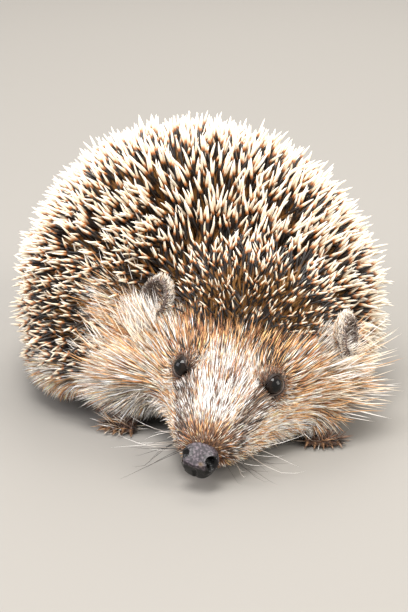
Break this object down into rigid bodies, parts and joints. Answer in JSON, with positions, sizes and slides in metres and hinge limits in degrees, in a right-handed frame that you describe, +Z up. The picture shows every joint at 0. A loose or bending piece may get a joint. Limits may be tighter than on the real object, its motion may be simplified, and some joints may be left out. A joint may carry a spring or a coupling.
{
  "type": "hedgehog",
  "caption": "Life-size still model of a European hedgehog standing low on the floor with its head turned, its back covered in spines and its face and underside in fur.",
  "frame": {"origin": "on the floor, under the middle of the animal's box", "axes": "+Y towards the rump, +X towards the animal's left, +Z up; the head points to -Y"},
  "size_m": [0.1288, 0.2104, 0.0898],
  "materials": {
    "spines": "keratin spines banded cream, brown and black",
    "face_fur": "short fur, pale between the eyes, ginger on the brow and cheeks, dark round the eyes",
    "body_fur": "coarse fur, beige to grey-brown",
    "skin": "bare to thinly haired skin",
    "nose": "pebbled skin, dry on top and wet at the nostrils",
    "eye": "wet black",
    "claw": "translucent brown keratin"
  },
  "bodies": {
    "root": {"crown": "spines", "head": "face_fur", "muzzle": "face_fur", "nose": "nose", "lower_jaw": "face_fur", "eye_right": "eye", "ear_right": "skin", "eye_left": "eye", "ear_left": "skin", "nape": "spines", "throat": "body_fur", "shoulders": "spines", "chest": "body_fur", "back": "spines", "belly": "body_fur", "rump": "spines", "groin": "body_fur", "neck": "body_fur", "forefoot_right": "skin", "foreleg_right": "body_fur", "forefoot_left": "skin", "foreleg_left": "body_fur", "hindfoot_right": "skin", "hindleg_right": "body_fur", "hindfoot_left": "skin", "hindleg_left": "body_fur", "tail": "skin"}
  },
  "joints": []
}
